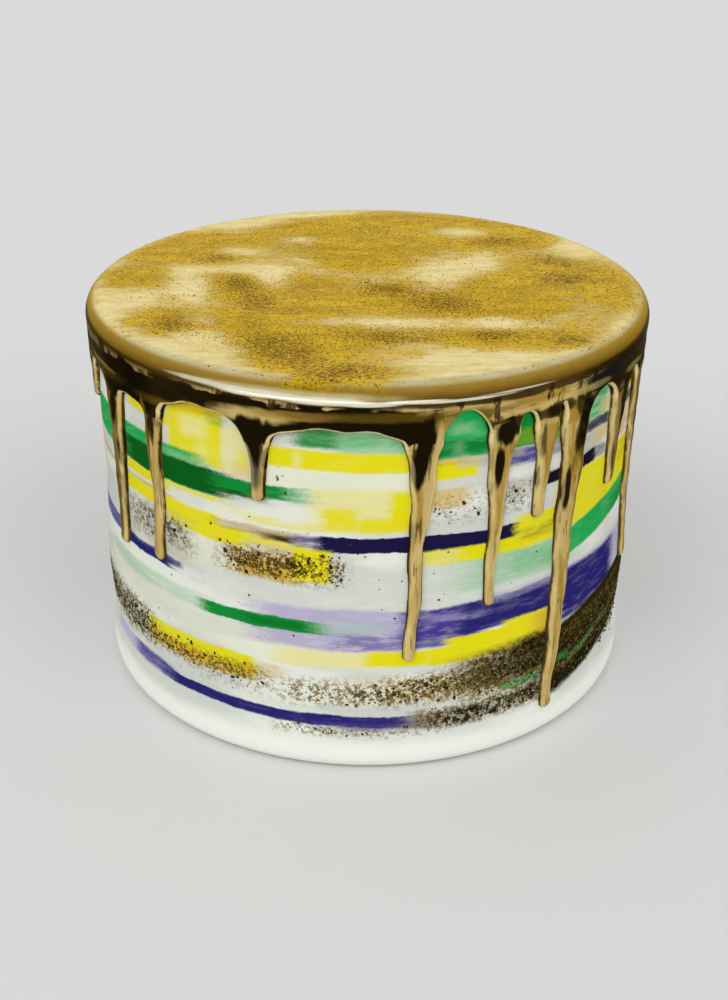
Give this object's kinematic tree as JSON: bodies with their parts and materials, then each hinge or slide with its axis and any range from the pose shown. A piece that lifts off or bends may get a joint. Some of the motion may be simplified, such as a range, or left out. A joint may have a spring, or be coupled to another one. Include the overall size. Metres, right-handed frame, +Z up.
{
  "type": "drip cake",
  "caption": "Tall round celebration cake in white icing with painted strokes and sugar flecks, under a poured gold glaze that runs down its side in drips.",
  "frame": {"origin": "centre of the cake's base, at the height it stands on", "axes": "+Z up through the cake, -Y towards the front that the picture shows, +X to the right of that front"},
  "size_m": [0.212, 0.212, 0.15],
  "materials": {
    "white_icing": "smooth set buttercream, faintly glossy, brushed with thin coloured strokes",
    "gold_glaze": "edible metallic gold, smooth and reflective on the rim and drips, grainy in patches on top"
  },
  "bodies": {
    "root": {"cake_body": "white_icing", "gold_glaze": "gold_glaze"}
  },
  "joints": []
}
